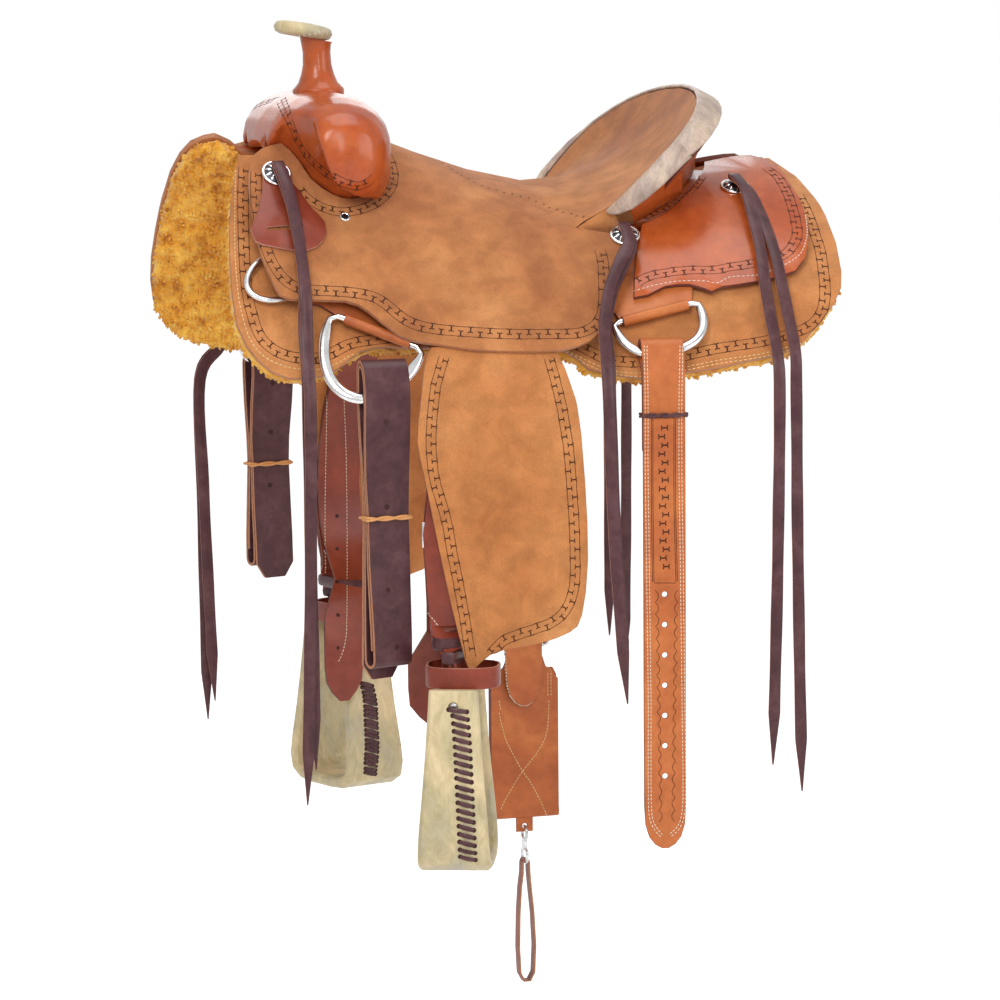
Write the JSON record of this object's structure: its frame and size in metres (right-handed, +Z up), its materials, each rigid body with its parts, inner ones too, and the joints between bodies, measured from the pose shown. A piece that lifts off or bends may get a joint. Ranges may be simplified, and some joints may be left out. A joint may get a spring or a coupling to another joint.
{
  "type": "team roping saddle",
  "caption": "Western stock saddle for roping: tree, leather seat, skirts on wool, wrapped horn, hanging fenders and stirrups, dees, billets, latigos and flank cinch.",
  "frame": {"origin": "on the middle plane, at the height of the line where the lowest part of the seat crosses over, between the two tree bars; a saddle rack's ridge carries the saddle from here", "axes": "+X towards the cantle (the horse's tail), -X towards the horn, +Y to the off side (right), +Z up"},
  "size_m": [0.6729, 0.6374, 1.1281],
  "materials": {
    "roughout_leather": "rough side out, napped",
    "smooth_leather": "oiled and polished grain side",
    "red_brown_leather": "smooth, semi-gloss",
    "burgundy_latigo": "dark burgundy latigo leather, waxed",
    "woolskin": "golden tufted wool",
    "rawhide": "hard translucent rawhide",
    "tree_wood": "plain softwood",
    "stainless_steel": "polished",
    "engraved_silver": "silver plated, domed"
  },
  "bodies": {
    "saddle": {"cantle_back": "smooth_leather", "cantle_binding": "rawhide", "concho_front_left": "engraved_silver", "concho_front_right": "engraved_silver", "concho_middle_left": "engraved_silver", "concho_middle_right": "engraved_silver", "concho_rear_left": "engraved_silver", "concho_rear_right": "engraved_silver", "fleece_left": "woolskin", "fleece_right": "woolskin", "front_rigging_left": "smooth_leather", "front_rigging_right": "smooth_leather", "front_tab_left": "red_brown_leather", "front_tab_right": "red_brown_leather", "horn": "smooth_leather", "horn_cap": "rawhide", "rear_jockey_left": "smooth_leather", "rear_jockey_right": "smooth_leather", "rear_rigging_left": "smooth_leather", "rear_rigging_right": "smooth_leather", "seat": "roughout_leather", "skirt_left": "roughout_leather", "skirt_right": "roughout_leather", "strings_front_left": "burgundy_latigo", "strings_front_right": "burgundy_latigo", "strings_middle_left": "burgundy_latigo", "strings_middle_right": "burgundy_latigo", "strings_rear_left": "burgundy_latigo", "strings_rear_right": "burgundy_latigo", "swell_cover": "smooth_leather", "tree_bar_left": "tree_wood", "tree_bar_right": "tree_wood", "tree_cantle": "tree_wood", "tree_fork": "tree_wood"},
    "front_dee_left": {"front_dee_left": "stainless_steel"},
    "latigo_left": {"latigo_left": "burgundy_latigo"},
    "breast_dee_left": {"breast_dee_left": "stainless_steel"},
    "rear_dee_left": {"rear_dee_left": "stainless_steel"},
    "rear_billet_left": {"rear_billet_left": "smooth_leather"},
    "fender_left": {"fender_left": "roughout_leather", "stirrup_leather_left": "red_brown_leather", "stirrup_buckle_left": "stainless_steel", "hobble_strap_left": "red_brown_leather"},
    "stirrup_left": {"stirrup_left": "rawhide", "stirrup_bolt_left": "stainless_steel"},
    "front_dee_right": {"front_dee_right": "stainless_steel"},
    "latigo_right": {"latigo_right": "burgundy_latigo"},
    "breast_dee_right": {"breast_dee_right": "stainless_steel"},
    "rear_dee_right": {"rear_dee_right": "stainless_steel"},
    "rear_billet_right": {"rear_billet_right": "smooth_leather", "cinch_buckle": "stainless_steel"},
    "fender_right": {"fender_right": "roughout_leather", "stirrup_leather_right": "red_brown_leather", "stirrup_buckle_right": "stainless_steel", "hobble_strap_right": "red_brown_leather"},
    "stirrup_right": {"stirrup_right": "rawhide", "stirrup_bolt_right": "stainless_steel"},
    "flank_cinch": {"flank_cinch": "smooth_leather"},
    "connector": {"cinch_snap": "stainless_steel", "connector_strap": "red_brown_leather"}
  },
  "joints": [
    {"name": "front_dee_swing_left", "type": "hinge", "parent": "saddle", "child": "front_dee_left", "pos_m": [-0.209, -0.19659, -0.09305], "axis": [-0.8668, 0.3501, 0.3549], "range_deg": [0, 45]},
    {"name": "breast_dee_swing_left", "type": "hinge", "parent": "saddle", "child": "breast_dee_left", "pos_m": [-0.3, -0.15279, -0.03544], "axis": [-0.4723, 0.4772, 0.7411], "range_deg": [0, 14]},
    {"name": "rear_dee_swing_left", "type": "hinge", "parent": "saddle", "child": "rear_dee_left", "pos_m": [0.077, -0.23777, -0.07941], "axis": [-0.9769, 0.0037, -0.2139], "range_deg": [0, 45]},
    {"name": "latigo_swing_left", "type": "hinge", "parent": "front_dee_left", "child": "latigo_left", "pos_m": [-0.21099, -0.22926, -0.15374], "axis": [-0.9987, -0.0516, 0], "range_deg": [-5, 6]},
    {"name": "rear_billet_swing_left", "type": "hinge", "parent": "rear_dee_left", "child": "rear_billet_left", "pos_m": [0.07257, -0.27214, -0.11804], "axis": [-0.9945, 0.1049, 0], "range_deg": [0, 14]},
    {"name": "fender_swing_left", "type": "hinge", "parent": "saddle", "child": "fender_left", "pos_m": [-0.12042, -0.21137, -0.07891], "axis": [0.1743, 0.8968, -0.4067], "range_deg": [-2, 2.5]},
    {"name": "stirrup_turn_left", "type": "hinge", "parent": "fender_left", "child": "stirrup_left", "pos_m": [-0.14204, -0.24642, -0.472], "axis": [0.3338, 0.9426, 0], "range_deg": [-35, 35]},
    {"name": "front_dee_swing_right", "type": "hinge", "parent": "saddle", "child": "front_dee_right", "pos_m": [-0.209, 0.19659, -0.09305], "axis": [0.8668, 0.3501, -0.3549], "range_deg": [0, 45]},
    {"name": "breast_dee_swing_right", "type": "hinge", "parent": "saddle", "child": "breast_dee_right", "pos_m": [-0.3, 0.15279, -0.03544], "axis": [0.4723, 0.4772, -0.7411], "range_deg": [0, 14]},
    {"name": "rear_dee_swing_right", "type": "hinge", "parent": "saddle", "child": "rear_dee_right", "pos_m": [0.077, 0.23777, -0.07941], "axis": [0.9769, 0.0037, 0.2139], "range_deg": [0, 45]},
    {"name": "latigo_swing_right", "type": "hinge", "parent": "front_dee_right", "child": "latigo_right", "pos_m": [-0.23258, 0.22795, -0.15852], "axis": [0.9835, 0.1807, 0], "range_deg": [-5, 6]},
    {"name": "rear_billet_swing_right", "type": "hinge", "parent": "rear_dee_right", "child": "rear_billet_right", "pos_m": [0.08, 0.27255, -0.11684], "axis": [0.9993, 0.0363, 0], "range_deg": [0, 14]},
    {"name": "fender_swing_right", "type": "hinge", "parent": "saddle", "child": "fender_right", "pos_m": [-0.12042, 0.21137, -0.07891], "axis": [-0.1743, 0.8968, 0.4067], "range_deg": [-2, 2.5]},
    {"name": "stirrup_turn_right", "type": "hinge", "parent": "fender_right", "child": "stirrup_right", "pos_m": [-0.14204, 0.24642, -0.472], "axis": [-0.3338, 0.9426, 0], "range_deg": [-35, 12]},
    {"name": "flank_cinch_swing", "type": "hinge", "parent": "rear_billet_right", "child": "flank_cinch", "pos_m": [0.08222, 0.29424, -0.505], "axis": [0.9993, 0.0363, 0], "range_deg": [0, 60]},
    {"name": "connector_swing", "type": "hinge", "parent": "flank_cinch", "child": "connector", "pos_m": [0.08222, 0.29424, -0.7185], "axis": [0.9993, 0.0363, 0], "range_deg": [-15, 16]}
  ]
}
